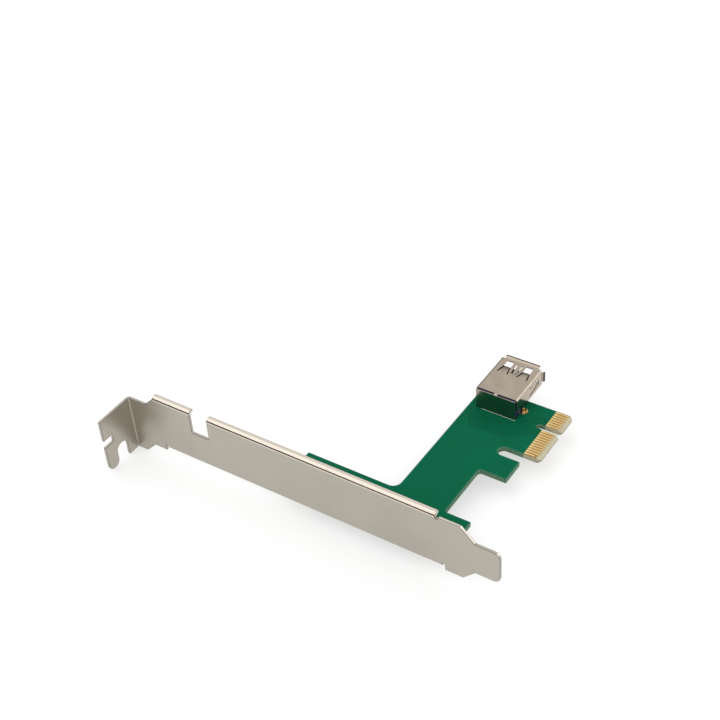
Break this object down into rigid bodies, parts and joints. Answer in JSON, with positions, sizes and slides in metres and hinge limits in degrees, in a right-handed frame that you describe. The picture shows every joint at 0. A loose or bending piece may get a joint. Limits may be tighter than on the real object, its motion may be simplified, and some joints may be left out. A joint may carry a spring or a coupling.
{
  "type": "plug-in adapter card",
  "caption": "Small L-shaped circuit board on a full-height slot bracket, with an edge tongue that plugs into a slot and a side-facing receptacle for a link cable.",
  "frame": {"origin": "centre of the key notch at the tip of the edge tongue, in the middle of the board's thickness", "axes": "+X from the bracket to the receptacle's mouth, +Y from the edge tongue up to the bracket's tab, +Z out of the component side"},
  "size_m": [0.0855, 0.12, 0.0223],
  "materials": {
    "board": "satin solder mask over glass-epoxy laminate",
    "gold": "bright gold plating",
    "bracket_steel": "satin nickel-plated sheet steel",
    "shell_steel": "smooth nickel-plated sheet",
    "screw_steel": "bright nickel-plated steel",
    "housing_plastic": "moulded thermoplastic",
    "spacer_plastic": "moulded thermoplastic",
    "solder": "bright solder"
  },
  "bodies": {
    "root": {"circuit_board": "board", "component_side_contacts": "gold", "solder_side_contacts": "gold", "mounting_bracket": "bracket_steel", "bracket_screws": "screw_steel", "screw_hole_plating": "gold", "usb_shell": "shell_steel", "usb_housing": "housing_plastic", "usb_pin_spacer": "spacer_plastic", "shell_leg_holes": "gold", "contact_holes": "gold", "shell_leg_joints": "solder", "power_contact_joints": "solder", "fast_contact_joints": "solder", "ground_contact": "gold", "data_plus_contact": "gold", "data_minus_contact": "gold", "power_contact": "gold", "receive_minus_contact": "gold", "receive_plus_contact": "gold", "drain_contact": "gold", "transmit_minus_contact": "gold", "transmit_plus_contact": "gold"}
  },
  "joints": []
}
